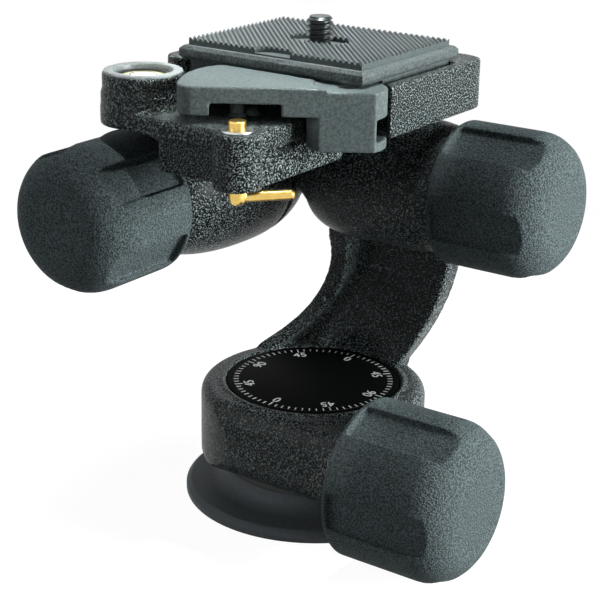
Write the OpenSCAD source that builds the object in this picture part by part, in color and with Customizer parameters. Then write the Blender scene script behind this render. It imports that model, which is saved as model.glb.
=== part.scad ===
// Three-way tripod head: a panning base, a C-shaped arm with the tilt barrel, an elbow with the
// roll barrel, and a quick-release clamp. Each axis has its own lock knob.
// Frame: origin under the base on the pan axis, +Z up, +X toward the tilt knob, -Y toward the roll knob.

/* [Base] */
// Radius of the base disc
base_r = 33; // [30:0.5:40]
// Thickness of the base disc
base_t = 3; // [2.5:0.1:5]
// Bevel round the disc's upper edge
base_bevel = 1.3; // [0.5:0.1:2]
// Major diameter of the tripod thread
thread_d = 9.525; // [6.35:0.001:9.525]
// Depth of the tripod thread
thread_depth = 12; // [8:0.5:16]

/* [Pan housing] */
// Radius of the pan drum
drum_r = 29; // [28:0.5:34]
// Height of the drum's top over the ground
drum_top = 30; // [28:0.5:36]
// Gap between the base disc and the drum, bridged by the disc's flared foot
drum_gap = 6; // [5:0.1:7]
// Thickness of the friction washer between the foot and the drum
washer_t = 1.6; // [1:0.1:3]
// Wall of the disc's foot round the pan hub
foot_wall = 3; // [2.5:0.1:4]
// How far the foot flares out over the disc
flare_out = 5; // [3:0.1:5.5]
// Rounding of the drum's upper shoulder
drum_round = 2.8; // [1:0.1:4]
// Rounding of the drum's lower edge
drum_foot_round = 3; // [1:0.1:5]
// Wall of the drum round the fixed pan hub
drum_wall = 10; // [9:0.25:12]
// Height of the shoulder that the hub's neck carries
hub_shoulder = 2.8; // [2:0.1:4]
// Radius of the hub's neck
hub_neck_r = 10; // [8:0.25:12]
// Width of the drum's top round the dial
dial_rim = 6.7; // [5:0.1:8]
// Thickness of the dial
dial_t = 1.2; // [0.8:0.1:2]
// Width of the raised lip round the dial
lip_w = 1.3; // [0.8:0.1:2]
// Height of the lip over the drum
lip_h = 0.6; // [0.3:0.1:1]

/* [Pan lock] */
// Distance of the lock's axis from the hub's wall
lock_out = 3.2; // [2.8:0.1:4]
// Height of the lock's axis
lock_z = 20.2; // [19.8:0.1:22]
// Height of the front bar's crown
bar_z = 18.7; // [17:0.1:20]
// How far the bar's front bulges
bar_depth = 9; // [8:0.1:10]
// Rise of the bar's rounded front over its crown
bar_rise = 14; // [12.5:0.1:16]
// Inset of the bar's front from the drum's wall
bar_in = 0.4; // [0.2:0.1:1]
// Reach of the lock's bore to the left of the pan axis
shoe_bore_left = 6.5; // [5.5:0.25:7]
// Radius of the clamping shoes
shoe_r = 4.8; // [4.2:0.1:5]
// Radius of the lock screw
lock_screw_r = 3; // [2.5:0.1:3.5]
// Radius of the pan knob
pan_knob_r = 19.6; // [17:0.1:19.8]
// Length of the pan knob
pan_knob_len = 31; // [26:0.5:36]
// Distance of the pan knob's rim from the pan axis
pan_knob_x = 31; // [30:0.1:36]

/* [Arm] */
// Inset of the arm's left edge from the barrel's left end
arm_left_in = 0.4; // [0:0.1:2]
// Inset of the arm's right edge from the barrel's right end
arm_right_in = 6.5; // [4:0.25:9]
// Reach of the arm's foot to the left of the pan axis
arm_foot_left = 26; // [22:0.5:28]
// Reach of the arm's foot to the right of the pan axis
arm_foot_right = 12.5; // [8:0.5:18]
// Thickness of the arm's web
arm_web_t = 6.5; // [4:0.25:8]
// Width of the rib along the arm's left edge
arm_rib_w = 5.4; // [4:0.1:7]
// Distance of the rib's front behind the pan axis
arm_rib_y = 20; // [18:0.25:22]
// How far the rib leans forward at the barrel
arm_rib_lean = 6.5; // [4:0.25:8]
// How far the rib's toe runs forward along the drum's rim
arm_toe = 12; // [4:0.5:16]
// Inset of the arm's back from the drum's wall at the foot
arm_heel = 2; // [1:0.25:4]

/* [Tilt barrel] */
// Distance of the tilt axis behind the pan axis
tilt_y = 16; // [14:0.25:18]
// Height of the tilt axis over the roll axis
tilt_rise = 2.5; // [0:0.1:3]
// Radius of the tilt barrel
barrel_r = 16.4; // [14:0.1:17]
// Left end of the tilt barrel, measured from the pan axis
barrel_left = 6.8; // [6:0.1:8]
// Right end of the tilt barrel, measured from the pan axis
barrel_right = 31; // [30:0.1:34]
// Radius of the barrel's left end face
barrel_end_r = 11.4; // [10.5:0.1:13]
// Length of the domed part of the barrel
barrel_dome = 10.5; // [6:0.5:13]

/* [Elbow and roll ball] */
// Distance of the roll axis to the left of the pan axis
roll_x = 31; // [30:0.25:36]
// Height of the roll axis
roll_z = 80; // [78:0.5:84]
// Largest radius of the roll ball
ball_r = 18.9; // [18:0.1:20]
// Where the ball is widest, behind the pan axis
ball_mid_y = 1; // [-1:0.5:3]
// Length of the ball's back half
ball_back = 25.5; // [24:0.5:28]
// Length that the ball's front half would have with a closed end
ball_front = 37; // [34:0.5:42]
// Front end of the ball, before the pan axis
ball_end_y = 31.2; // [29:0.1:34]
// Where the ball parts into elbow and clamp, behind the pan axis
seam_y = 7.4; // [6.5:0.1:7.5]
// Width of the groove at each seam
seam_w = 1.1; // [0.8:0.1:1.4]
// Depth of the groove at each seam
seam_d = 1.4; // [1:0.1:2]
// Radius of the elbow's neck
neck_r = 8.3; // [7.5:0.1:8.4]
// Radius of the flange at the neck's end
neck_flange_r = 10.8; // [10:0.1:11.5]

/* [Spindles] */
// Radius of the tilt and roll spindles
spindle_r = 6; // [5:0.1:6.5]
// Radius of the spindles' threaded ends
stud_r = 4; // [3:0.1:4.5]
// Wall of the bearing bushes
bush_wall = 2.5; // [1.5:0.1:3]
// Length of each bearing bush
bush_len = 12; // [8:0.5:13]
// Length of the threaded end inside a knob
stud_len = 16; // [10:0.5:18]

/* [Knobs] */
// Radius of the tilt and roll knobs
knob_r = 17.8; // [16:0.1:18]
// Length of the tilt and roll knobs
knob_len = 28.5; // [26:0.5:34]
// Rounding of the knobs' domed end
knob_round = 9.5; // [6:0.5:11]
// Number of flutes round a knob
flutes = 5; // [4:1:7]
// Width of a flute
flute_w = 9.6; // [7:0.1:11]
// Depth of a flute at its middle
flute_d = 2; // [1.2:0.1:2.6]
// Width of the plain rim before the flutes
rim_w = 1.5; // [1:0.1:3]
// Radius of the metal insert in a knob
insert_r = 6.5; // [5.5:0.1:7.5]
// Turn of the pan knob's flutes about its axis, in degrees
pan_flute_turn = 58; // [0:1:72]
// Turn of the tilt knob's flutes about its axis, in degrees
tilt_flute_turn = 65; // [0:1:72]
// Turn of the roll knob's flutes about its axis, in degrees
roll_flute_turn = 40; // [0:1:72]
// Gap between a knob's rim and the barrel in front of it
knob_gap = 0.9; // [0.7:0.1:1.2]
// Thickness of the thrust washers under the knobs
thrust_t = 0.7; // [0.5:0.1:0.8]

/* [Clamp] */
// Gap between the tilt barrel and the deck over it
deck_rise = 5.1; // [5:0.1:7]
// Thickness of the clamp's deck
deck_t = 12; // [11:0.25:12]
// Right edge of the deck
deck_right = 30.4; // [29.5:0.1:31]
// Left edge of the deck
deck_left = 34; // [32:0.25:36]
// Back edge of the deck
deck_back = 29.5; // [27:0.25:32]
// Front edge of the deck under the plate
deck_front = 20; // [19:0.25:21]
// Rounding of the deck's corners
deck_round = 6; // [3:0.5:8]
// Front edge of the shelf under the lever
shelf_front = 47; // [45:0.25:50]
// Right edge of the shelf
shelf_right = 14; // [13:0.25:16]
// Drop from the deck to the lever's shelf
shelf_drop = 7.8; // [7.4:0.1:8.2]
// Drop from the deck to the floor round the level
level_drop = 4.4; // [3:0.1:6]
// Radius of the level's boss
level_r = 9.6; // [9:0.1:9.8]
// Width of the step round the foot of the level's boss
level_step = 0.4; // [0.2:0.1:0.8]
// Depth of the pedestal under the shelf
pedestal_h = 9; // [7:0.25:9]
// Left edge of the pedestal
pedestal_left = 16.5; // [14:0.25:16.75]
// Radius of the boss round the safety pin
pin_boss_r = 5.5; // [4.5:0.1:6]
// Place of the safety pin: to the right of the pan axis
pin_x = 9.5; // [8:0.1:10.5]
// Place of the safety pin: in front of the pan axis
pin_y = 45; // [44:0.1:46]
// Radius of the safety pin
pin_r = 2; // [1.6:0.1:2.4]

/* [Plate] */
// Length of the quick-release plate
plate_x = 52.5; // [50:0.5:54]
// Depth of the quick-release plate
plate_y = 42.5; // [41:0.5:43]
// Thickness of the plate's visible edge
plate_t = 3.2; // [2.5:0.1:4]
// Gap between the deck and the plate
plate_gap = 0.35; // [0.3:0.05:0.5]
// Length of the rubber pad
pad_x = 49.4; // [46:0.1:49.8]
// Depth of the rubber pad
pad_y = 38.6; // [36:0.1:40]
// Thickness of the rubber pad
pad_t = 1.7; // [1.2:0.1:2.5]
// Depth of the plate's dovetail in the deck
tail_h = 5.4; // [4.5:0.1:5.8]
// Half width of the dovetail at its foot
tail_y = 19; // [18:0.1:19.2]
// Slope of the dovetail's side
tail_slope = 1.6; // [1:0.1:2]
// Major diameter of the camera screw
camera_d = 6.35; // [6.35:0.001:9.525]
// Height of the camera screw over the pad
camera_h = 5.4; // [4.5:0.1:6.5]

/* [Lever] */
// Pivot of the lever, to the right of the pan axis
pivot_x = 22; // [21.5:0.1:22.5]
// Pivot of the lever, in front of the pan axis
pivot_y = 20.8; // [20.5:0.1:21.5]
// Angle of the lever's front face to the deck, with the plate locked
lever_angle = 34; // [33:0.5:35]
// Distance of the lever's front face from its pivot
lever_face = 6.6; // [6.2:0.1:7]
// Gap between the lever's tip and the level's boss
lever_tip_gap = 1.1; // [0.8:0.1:3]
// How far the lever's finger tab reaches behind its pivot
lever_belly = 18.6; // [17:0.1:19]
// Thickness of the lever's paddle
lever_t = 3.8; // [3:0.1:4.2]
// Thickness of the lever's finger tab
tab_t = 6.6; // [5:0.1:6.8]
// Depth of the lever's hub below the paddle's top
lever_hub_h = 13.6; // [13:0.1:14]
// Farthest reach of the lever's hub from its pivot
lever_reach = 9.2; // [8.8:0.1:9.6]
// Radius of the lever's pivot pin
pivot_r = 2; // [1.6:0.1:2.2]
// Thickness of the lug that carries the lever
lug_t = 4.4; // [4:0.1:4.6]
// Radius of the lug round the pivot
lug_r = 4.4; // [4:0.1:4.5]

/* [Clearances] */
// Radial clearance of a running fit
fit = 0.05; // [0.02:0.01:0.1]
// Gap between flat faces that slide on each other
face_gap = 0.05; // [0.02:0.01:0.1]
// Gap between curved faces of pieces that move past each other
swing_gap = 0.35; // [0.3:0.05:0.5]

/* [Hidden] */
$fn = 64;

// Levels and radii of the pan housing
hub_r = drum_r - drum_wall;
dial_r = drum_r - dial_rim;
lock_y = hub_r + lock_out;
foot_r = hub_r + foot_wall;
bar_y = drum_r - bar_in - bar_depth;
drum_z0 = base_t + drum_gap;
foot_z = drum_z0 - washer_t;
dial_z0 = drum_top - dial_t + 0.2;
shoulder_z1 = lock_z + shoe_r + fit - 1.2;
shoulder_z0 = shoulder_z1 - hub_shoulder;
retainer_t = 1.2;
nut_t = 1.6;
nut_r = hub_neck_r + 2.6;
retainer_r = hub_neck_r + 4;
well_r = retainer_r + 1;
screw_ring_r = hub_r - 2.9;
base_screw_r = 1.5;
base_screw_count = 3;
base_screw_sink = 0.2;
base_screw_len = base_t + 4.8;
spigot_r = screw_ring_r - 2 * base_screw_r - 0.5;

// Levels of the clamp and of the tilt axis
tilt_z = roll_z + tilt_rise;
deck_z0 = roll_z + barrel_r + deck_rise;
deck_z = deck_z0 + deck_t;
shelf_z = deck_z - shelf_drop;
level_z = deck_z - level_drop;
pedestal_z0 = deck_z0 - pedestal_h;
pin_boss_z0 = pedestal_z0 + 0.5;
level_x = deck_left - level_r - level_step;
level_y = shelf_front - level_r - level_step;

// Levels of the plate
plate_z0 = deck_z + plate_gap;
plate_z1 = plate_z0 + plate_t;
pad_z1 = plate_z1 + pad_t;
tail_z0 = deck_z - tail_h;
pocket_floor = tail_z0 - 0.3;
trigger_x = 15;
trigger_y = 5;
trigger_r = 2.4;

// Length and levels of the lever
lever_len = norm([level_x + pivot_x, level_y - pivot_y]) - level_r - lever_tip_gap;
lever_top = deck_z - 0.15;
paddle_top = lever_top + 0.8;
lever_z0 = lever_top - lever_hub_h;
lug_z0 = deck_z0 + 0.9;
slot_z0 = lug_z0 - swing_gap;
slot_z1 = lug_z0 + lug_t + swing_gap;
lever_open = 65;

// Seams between the turning castings
neck_x1 = barrel_left + seam_w;
hub_face_y = seam_y + seam_w;

// Ends of the knobs' inserts and studs
insert_len = stud_len + 2;
thrust_r = insert_r + 3;
stud_room = 0.4;
end_wall = 5;
neck_seat = 11;
shoe_travel = 0.5;
tilt_knob_x = barrel_right + knob_gap;
roll_knob_y = ball_end_y + knob_gap;

// A cylinder along X, from x0 to x1
module rod_x(r, x0, x1) {
    translate([x0, 0, 0]) rotate([0, 90, 0]) cylinder(r = r, h = x1 - x0);
}

// A cylinder along Y, from y0 to y1
module rod_y(r, y0, y1) {
    translate([0, y1, 0]) rotate([90, 0, 0]) cylinder(r = r, h = y1 - y0);
}

// A flat ring standing on z = 0
module ring(r_out, r_in, h) {
    difference() {
        cylinder(r = r_out, h = h);
        translate([0, 0, -1]) cylinder(r = r_in, h = h + 2);
    }
}

// A slab with round corners between two plan corners
module rounded_slab(x0, y0, x1, y1, r, z0, z1) {
    translate([x0 + r, y0, z0]) cube([x1 - x0 - 2 * r, y1 - y0, z1 - z0]);
    translate([x0, y0 + r, z0]) cube([x1 - x0, y1 - y0 - 2 * r, z1 - z0]);
    for (x = [x0 + r, x1 - r], y = [y0 + r, y1 - r])
        translate([x, y, z0]) cylinder(r = r, h = z1 - z0);
}

// Frames of the tilt axis (pointing right) and the roll axis (pointing front)
module at_tilt() { translate([0, tilt_y, tilt_z]) children(); }
module at_roll() { translate([-roll_x, 0, roll_z]) children(); }
module at_lock() { translate([0, -lock_y, lock_z]) children(); }
module along_x() { rotate([0, 90, 0]) children(); }
module along_front() { rotate([90, 0, 0]) children(); }

// Points on a quarter round from angle a0 to a1
function arc(cx, cy, r, a0, a1, n = 6) =
    [for (i = [0:n]) let (a = a0 + (a1 - a0) * i / n) [cx + r * cos(a), cy + r * sin(a)]];

// Base disc with a bevelled upper edge, a foot that flares out over it, and a bore for the hub
module base_disc() color("dimgray") difference() {
    rotate_extrude() polygon(concat([[0, 0], [base_r, 0], [base_r, base_t - base_bevel],
        [base_r - base_bevel, base_t]],
        [for (a = [0:15:90]) [foot_r + flare_out * (1 - sin(a)), base_t + (foot_z - base_t) * (1 - cos(a))]],
        [[0, foot_z]]));
    translate([0, 0, -1]) cylinder(r = spigot_r + fit, h = base_t + 2);
    translate([0, 0, base_t]) cylinder(r = hub_r + fit, h = drum_gap);
    base_screw_places() {
        translate([0, 0, -1]) cylinder(r = base_screw_r + fit, h = base_t + 2);
        translate([0, 0, -1]) cylinder(r = 2 * base_screw_r + fit, h = 1 + base_t / 2);
    }
}

// Places of the screws that hold the disc on the hub
module base_screw_places() {
    for (i = [0:base_screw_count - 1])
        rotate([0, 0, 90 + i * 360 / base_screw_count]) translate([screw_ring_r, 0, 0]) children();
}

// Flat-headed screws from below
module base_screws() color("silver") base_screw_places() {
    translate([0, 0, base_screw_sink]) cylinder(r = 2 * base_screw_r, h = base_t / 2 - base_screw_sink);
    translate([0, 0, base_screw_sink]) cylinder(r = base_screw_r, h = base_screw_len);
}

// Fixed hub: spigot with the tripod thread, clamping drum and neck
module pan_hub() color("silver") difference() {
    union() {
        cylinder(r = spigot_r, h = base_t + 1);
        translate([0, 0, base_t]) cylinder(r = hub_r, h = shoulder_z0 - face_gap - base_t);
        translate([0, 0, base_t])
            cylinder(r = hub_neck_r, h = shoulder_z1 + face_gap + retainer_t + nut_t - base_t);
    }
    translate([0, 0, -1]) cylinder(r = thread_d / 2, h = thread_depth + 1);
    base_screw_places() translate([0, 0, -1]) cylinder(r = base_screw_r + fit, h = base_screw_len + 2);
}

// Friction washer between the disc's foot and the drum
module pan_washer() color("ivory") translate([0, 0, foot_z])
    ring(foot_r - 4 * fit, hub_r + 4 * fit, washer_t - face_gap);

// Washer that holds the drum down on the hub
module pan_retainer() color("lightgray") translate([0, 0, shoulder_z1 + face_gap])
    ring(retainer_r, hub_neck_r + fit, retainer_t);

// Hexagonal nut on the hub's neck
module pan_nut() color("gray") translate([0, 0, shoulder_z1 + face_gap + retainer_t]) difference() {
    cylinder(r = nut_r, h = nut_t, $fn = 6);
    translate([0, 0, -1]) cylinder(r = hub_neck_r + fit, h = nut_t + 2);
}

// Edges of the arm as functions of the height z: rise runs from 0 at the drum to 1 under the barrel
arm_z0 = drum_z0 + drum_foot_round + 4;
arm_z1 = tilt_z;
arm_crown = tilt_z - barrel_r;
arm_steps = 18;
arm_in_barrel = 0.4;
arm_top_lean = 0.6;
function arm_level(i) = arm_z0 + (arm_z1 - arm_z0) * i / arm_steps;
function rise(z) = max(0, min(1, (z - drum_top) / (arm_crown - drum_top)));
function blend(foot, top, z) = top - (top - foot) * pow(1 - rise(z), 2);
function arm_left(z) = blend(-arm_foot_left, arm_left_in - barrel_left, z)
    + arm_top_lean * max(0, z - arm_crown);
function arm_right(z) = blend(arm_foot_right, barrel_right - arm_right_in, z);
function arm_front(z) = arm_rib_y - arm_rib_lean * pow(rise(z), 4) - arm_toe * pow(1 - rise(z), 8);
function arm_back(z) = blend(drum_r - arm_heel, tilt_y + barrel_r - arm_in_barrel, z);

// A band between two edges that are functions of the level, drawn upright in its own plane
function band(near, far) = concat([for (i = [0:arm_steps]) [near[i], arm_level(i)]],
    [for (i = [arm_steps:-1:0]) [far[i], arm_level(i)]]);

// A solid with a front outline (left to right edges) and a side outline (front to back edges)
module two_view_solid(left, right, front, back) {
    intersection() {
        translate([0, 2 * base_r, 0]) rotate([90, 0, 0]) linear_extrude(2 * base_r)
            polygon(band(right, left));
        translate([-2 * base_r, 0, 0]) rotate([90, 0, 90]) linear_extrude(4 * base_r)
            polygon(band(back, front));
    }
}

// Keeps the arm's foot within the drum, and widens above it
module arm_envelope() {
    translate([0, 0, arm_z0 - 1]) cylinder(r = drum_r, h = drum_top - arm_z0);
    translate([0, 0, drum_top - 1.5]) cylinder(r1 = drum_r, r2 = 2 * drum_r, h = drum_r);
    translate([0, 0, drum_top - 1.5 + drum_r]) cylinder(r = 2 * drum_r, h = arm_z1);
}

// The arm: a curved web with a rib along its left edge
module arm() {
    levels = [for (i = [0:arm_steps]) arm_level(i)];
    left = [for (z = levels) arm_left(z)];
    back = [for (z = levels) arm_back(z)];
    intersection() {
        union() {
            two_view_solid(left, [for (z = levels) arm_right(z)], [for (y = back) y - arm_web_t], back);
            two_view_solid(left, [for (x = left) x + arm_rib_w], [for (z = levels) arm_front(z)], back);
        }
        arm_envelope();
    }
}

// Outline of the pan drum, with the dial's seat and lip
module drum_shape() {
    rotate_extrude() polygon(concat([[0, drum_z0], [drum_r - drum_foot_round, drum_z0]],
        arc(drum_r - drum_foot_round, drum_z0 + drum_foot_round, drum_foot_round, -75, 0),
        arc(drum_r - drum_round, drum_top - drum_round, drum_round, 0, 90),
        [[dial_r + 0.2 + lip_w, drum_top], [dial_r + lip_w, drum_top + lip_h],
        [dial_r + 0.4, drum_top + lip_h], [dial_r + 0.1, dial_z0], [0, dial_z0]]));
}

// Rounded front of the bar that holds the pan lock, from its foot up, as [y, z]
bar_front = [for (a = [-90:15:90])
    [-bar_y - bar_depth * cos(a), bar_z + (a < 0 ? bar_z - drum_z0 : bar_rise) * sin(a)]];

// What the bar's front leaves free before the drum
module before_bar() {
    translate([-2 * base_r, 0, 0]) rotate([90, 0, 90]) linear_extrude(4 * base_r)
        polygon(concat(bar_front, [[-bar_y, 2 * drum_top], [-3 * base_r, 2 * drum_top],
        [-3 * base_r, -1], [-bar_y, -1]]));
}

// Bar that holds the pan lock, level with the drum on top
module lock_bar() {
    bar_back = shoe_r + 4 - lock_y;
    intersection() {
        rotate([90, 0, 90]) linear_extrude(pan_knob_x - knob_gap)
            polygon(concat(bar_front, [[bar_back, bar_z + bar_rise], [bar_back, drum_z0]]));
        translate([-1, -2 * base_r, 0]) cube([2 * base_r, 3 * base_r, drum_top - 0.4]);
    }
}

// Outline of the tilt barrel along its axis
module barrel_shape() {
    at_tilt() along_x() rotate_extrude() polygon(concat([[0, -barrel_left], [barrel_end_r, -barrel_left]],
        [for (i = [1:8]) let (a = 90 * i / 8)
            [barrel_end_r + (barrel_r - barrel_end_r) * sin(a), barrel_dome * (1 - cos(a)) - barrel_left]],
        [[barrel_r, barrel_right - 7], [barrel_r - 0.6, barrel_right - 3], [barrel_r - 1.8, barrel_right],
        [0, barrel_right]]));
}

// Pan drum, lock bar, arm and tilt barrel in one casting
module arm_casting() color("#26282a") difference() {
    union() {
        difference() {
            drum_shape();
            before_bar();
        }
        lock_bar();
        arm();
        barrel_shape();
    }
    translate([0, 0, -1]) cylinder(r = hub_r + fit, h = shoulder_z0 + 1);
    cylinder(r = hub_neck_r + fit, h = drum_top);
    translate([0, 0, shoulder_z1]) cylinder(r = well_r, h = drum_top);
    translate([0, 0, dial_z0]) cylinder(r = dial_r + 0.1, h = barrel_r);
    at_lock() rod_x(shoe_r + fit, -shoe_bore_left, pan_knob_x);
    at_tilt() {
        rod_x(spindle_r + bush_wall + fit, -barrel_left - 1, barrel_right - end_wall);
        rod_x(stud_r + stud_room, 0, barrel_right + 1);
    }
}

// Dial with the degree scale
module dial_plate() color("black") translate([0, 0, dial_z0]) cylinder(r = dial_r, h = dial_t);

// A pan lock shoe: round bar with a hollow that bears on the hub
module lock_shoe(x0, x1) {
    difference() {
        at_lock() rod_x(shoe_r, x0, x1);
        at_lock() rod_x(lock_screw_r + fit, x0 - 1, x1 + 1);
        cylinder(r = hub_r + swing_gap, h = drum_top);
    }
}

// Threaded shoe at the screw's far end
module pan_shoe_inner() color("darkgoldenrod") lock_shoe(2 * shoe_travel - shoe_bore_left, -1);

// Plain shoe that the knob pushes
module pan_shoe_outer() color("goldenrod") lock_shoe(1, pan_knob_x + thrust_t - shoe_travel - face_gap);

// Screw of the pan lock
module pan_screw() color("silver") at_lock()
    rod_x(lock_screw_r, 3 * shoe_travel - shoe_bore_left, pan_knob_x + stud_len);

// A knob standing on z = 0: plain rim, flutes that run out into the dome, and a large domed end
module knob_shape(r, length, bore_depth) {
    difference() {
        rotate_extrude() polygon(concat([[0, 0], [r - 0.6, 0], [r, 0.6]],
            arc(r - knob_round, length - knob_round, knob_round, 0, 80, 8),
            [[r * 0.3, length - 0.02], [0, length]]));
        for (i = [0:flutes - 1]) rotate([0, 0, i * 360 / flutes])
            translate([r - flute_d, -flute_w / 2, rim_w]) cube([flute_d + 1, flute_w, length]);
        translate([0, 0, -1]) cylinder(r = insert_r + fit, h = bore_depth + 1);
        translate([0, 0, -1]) cylinder(r = thrust_r + 0.5, h = 1 + thrust_t + face_gap);
    }
}

// A knob's metal insert standing on z = 0, with its thread's bore
module insert_shape(bore_r) {
    difference() {
        cylinder(r = insert_r, h = insert_len - thrust_t);
        translate([0, 0, -1]) cylinder(r = bore_r + fit, h = insert_len + 2);
    }
}

// Frame of each knob: its rim on z = 0 and its axis along +Z
module at_pan_knob() { at_lock() translate([pan_knob_x, 0, 0]) along_x() children(); }
module at_tilt_knob() { at_tilt() translate([tilt_knob_x, 0, 0]) along_x() children(); }
module at_roll_knob() { at_roll() translate([0, -roll_knob_y, 0]) along_front() children(); }

module pan_knob() color("#3b3d3f") at_pan_knob() rotate([0, 0, pan_flute_turn])
    knob_shape(pan_knob_r, pan_knob_len, insert_len);
module pan_insert() color("darkkhaki") at_pan_knob() translate([0, 0, thrust_t]) insert_shape(lock_screw_r);
module tilt_knob() color("#3b3d3f") at_tilt_knob() rotate([0, 0, tilt_flute_turn])
    knob_shape(knob_r, knob_len, insert_len);
module tilt_insert() color("darkkhaki") at_tilt_knob() translate([0, 0, thrust_t]) insert_shape(stud_r);
module roll_knob() color("#3b3d3f") at_roll_knob() rotate([0, 0, roll_flute_turn])
    knob_shape(knob_r, knob_len, insert_len);
module roll_insert() color("darkkhaki") at_roll_knob() translate([0, 0, thrust_t]) insert_shape(stud_r);

// Bearing bushes in the tilt barrel
module tilt_bushes() color("peru") at_tilt() for (x = [-barrel_left, barrel_right - end_wall - bush_len])
    translate([x, 0, 0]) along_x() ring(spindle_r + bush_wall, spindle_r + fit, bush_len);

// Washer between the tilt barrel and its knob
module tilt_thrust_washer() color("lightgray") at_tilt() translate([barrel_right, 0, 0]) along_x()
    ring(thrust_r, stud_r + stud_room, knob_gap + thrust_t - face_gap);

// Tilt spindle: held in the elbow's neck, turning in the barrel, threaded for the knob
module tilt_spindle() color("silver") at_tilt() {
    rod_x(spindle_r, -neck_x1 - neck_seat, barrel_right - end_wall - 0.6);
    rod_x(stud_r, 0, tilt_knob_x + stud_len);
}

// Friction washer in the groove between the neck and the barrel
module tilt_washer() color("ivory") at_tilt() translate([-neck_x1, 0, 0]) along_x()
    ring(neck_flange_r - seam_d, spindle_r + fit, seam_w - face_gap);

// Radius of the roll ball at a distance y behind the pan axis
function ball_at(y) =
    let (a = y > ball_mid_y ? ball_back : ball_front, t = min(1, abs(y - ball_mid_y) / a))
    ball_r * pow(1 - pow(t, 2.4), 1 / 2.4);

// The ball between two depths, as a turned solid along the roll axis
module ball_part(y0, y1, steps) {
    at_roll() rotate([-90, 0, 0]) rotate_extrude() polygon(concat([[0, y0]],
        [for (i = [0:steps]) let (y = y0 + (y1 - y0) * i / steps) [ball_at(y), y]], [[0, y1]]));
}

// Depth of the elbow's closed back
elbow_back = ball_mid_y + ball_back - 0.9;

// Elbow: the ball's back with the neck that carries the tilt spindle
module elbow_casting() color("#26282a") difference() {
    union() {
        ball_part(hub_face_y, elbow_back, 12);
        at_tilt() {
            rod_x(neck_r, -roll_x, -neck_x1 - 1);
            translate([-neck_x1 - 4, 0, 0]) along_x() cylinder(r1 = neck_r, r2 = neck_flange_r, h = 3);
            translate([-neck_x1 - 1, 0, 0]) along_x() cylinder(r = neck_flange_r, h = 1);
        }
    }
    at_roll() rod_y(spindle_r + fit, hub_face_y - 1, elbow_back - end_wall);
    at_roll() rod_y(ball_at(seam_y) + swing_gap, seam_y - 1, hub_face_y);
    at_tilt() rod_x(spindle_r + fit, -neck_x1 - neck_seat, 0);
}

// Roll spindle: held in the elbow, turning in the ball, threaded for the knob
module roll_spindle() color("silver") at_roll() {
    rod_y(spindle_r, end_wall + 0.6 - ball_end_y, elbow_back - end_wall);
    rod_y(stud_r, -roll_knob_y - stud_len, 0);
}

// Friction washer in the groove between the elbow and the ball
module roll_washer() color("ivory") at_roll() translate([0, seam_y + face_gap, 0]) rotate([-90, 0, 0])
    ring(ball_at(seam_y) - seam_d, spindle_r + fit, seam_w - face_gap);

// Bearing bushes in the roll ball
module roll_bushes() color("peru") at_roll() for (y = [seam_y, end_wall + bush_len - ball_end_y])
    translate([0, y, 0]) along_front() ring(spindle_r + bush_wall, spindle_r + fit, bush_len);

// Washer between the roll ball and its knob
module roll_thrust_washer() color("lightgray") at_roll() translate([0, -ball_end_y, 0]) along_front()
    ring(thrust_r, stud_r + stud_room, knob_gap + thrust_t - face_gap);

// Deck, lever shelf, level's corner, pedestal and pin boss of the clamp
module clamp_outline() {
    rounded_slab(-deck_left, -deck_front, deck_right, deck_back, deck_round, deck_z0, deck_z);
    rounded_slab(-deck_left, -shelf_front, shelf_right, 0, level_r, deck_z0, shelf_z);
    translate([-deck_left, -level_y, deck_z0])
        cube([deck_round + 1, level_y - deck_front + deck_round, level_z - deck_z0]);
    translate([-level_x, -level_y, deck_z0]) {
        cylinder(r = level_r, h = deck_z - deck_z0);
        cylinder(r = level_r + level_step, h = level_z - deck_z0);
        translate([-level_r - level_step, 0, 0])
            cube([2 * level_r - 2, level_y - deck_front + 1, level_z - deck_z0]);
    }
    rounded_slab(-pedestal_left, 3 - shelf_front, shelf_right - 1, -5, 5, pedestal_z0, deck_z0 + 1);
    translate([pin_x, -pin_y, pin_boss_z0]) cylinder(r = pin_boss_r, h = shelf_z - pin_boss_z0);
    ball_part(-ball_end_y, seam_y, 16);
    web_y = ball_end_y - 9;
    translate([1 - deck_left, -web_y, roll_z + ball_r / 2])
        cube([ball_r + 2, web_y + seam_y, deck_z0 - roll_z - ball_r / 2 + 1]);
}

// Pocket for the plate's dovetail, open at the front for the lever
module plate_pocket() {
    edge = 0.25;
    translate([-plate_x / 2 - 0.8, 0, 0]) rotate([90, 0, 90]) linear_extrude(plate_x + 1.6)
        polygon([[-deck_front - 5, pocket_floor], [tail_y + edge, pocket_floor],
        [tail_y + edge - tail_slope, deck_z], [tail_y + edge - tail_slope, deck_z + 1],
        [-deck_front - 5, deck_z + 1]]);
}

// Clamp casting with the roll ball, bored for the spindle, the lever, the pins and the level
module clamp_body() color("#26282a") difference() {
    union() {
        difference() {
            clamp_outline();
            translate([pivot_x, -pivot_y, lever_z0 - 1])
                cylinder(r = lever_reach + swing_gap, h = deck_z - lever_z0 + 2);
        }
        lever_lug();
    }
    plate_pocket();
    translate([pivot_x, -pivot_y, lug_z0 - 1]) cylinder(r = pivot_r + fit, h = lug_t + 2);
    translate([pin_x, -pin_y, pin_boss_z0 - 1]) cylinder(r = pin_r + fit, h = shelf_z - pin_boss_z0 + 2);
    translate([-level_x, -level_y, deck_z - level_seat]) cylinder(r = level_ring_r + fit, h = level_seat + 1);
    translate([-trigger_x, trigger_y, pocket_floor - trigger_len])
        cylinder(r = trigger_r + fit, h = trigger_len + 1);
    at_roll() {
        rod_y(spindle_r + bush_wall + fit, end_wall - ball_end_y, seam_y + 1);
        rod_y(stud_r + stud_room, -ball_end_y - 1, 0);
    }
}

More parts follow.
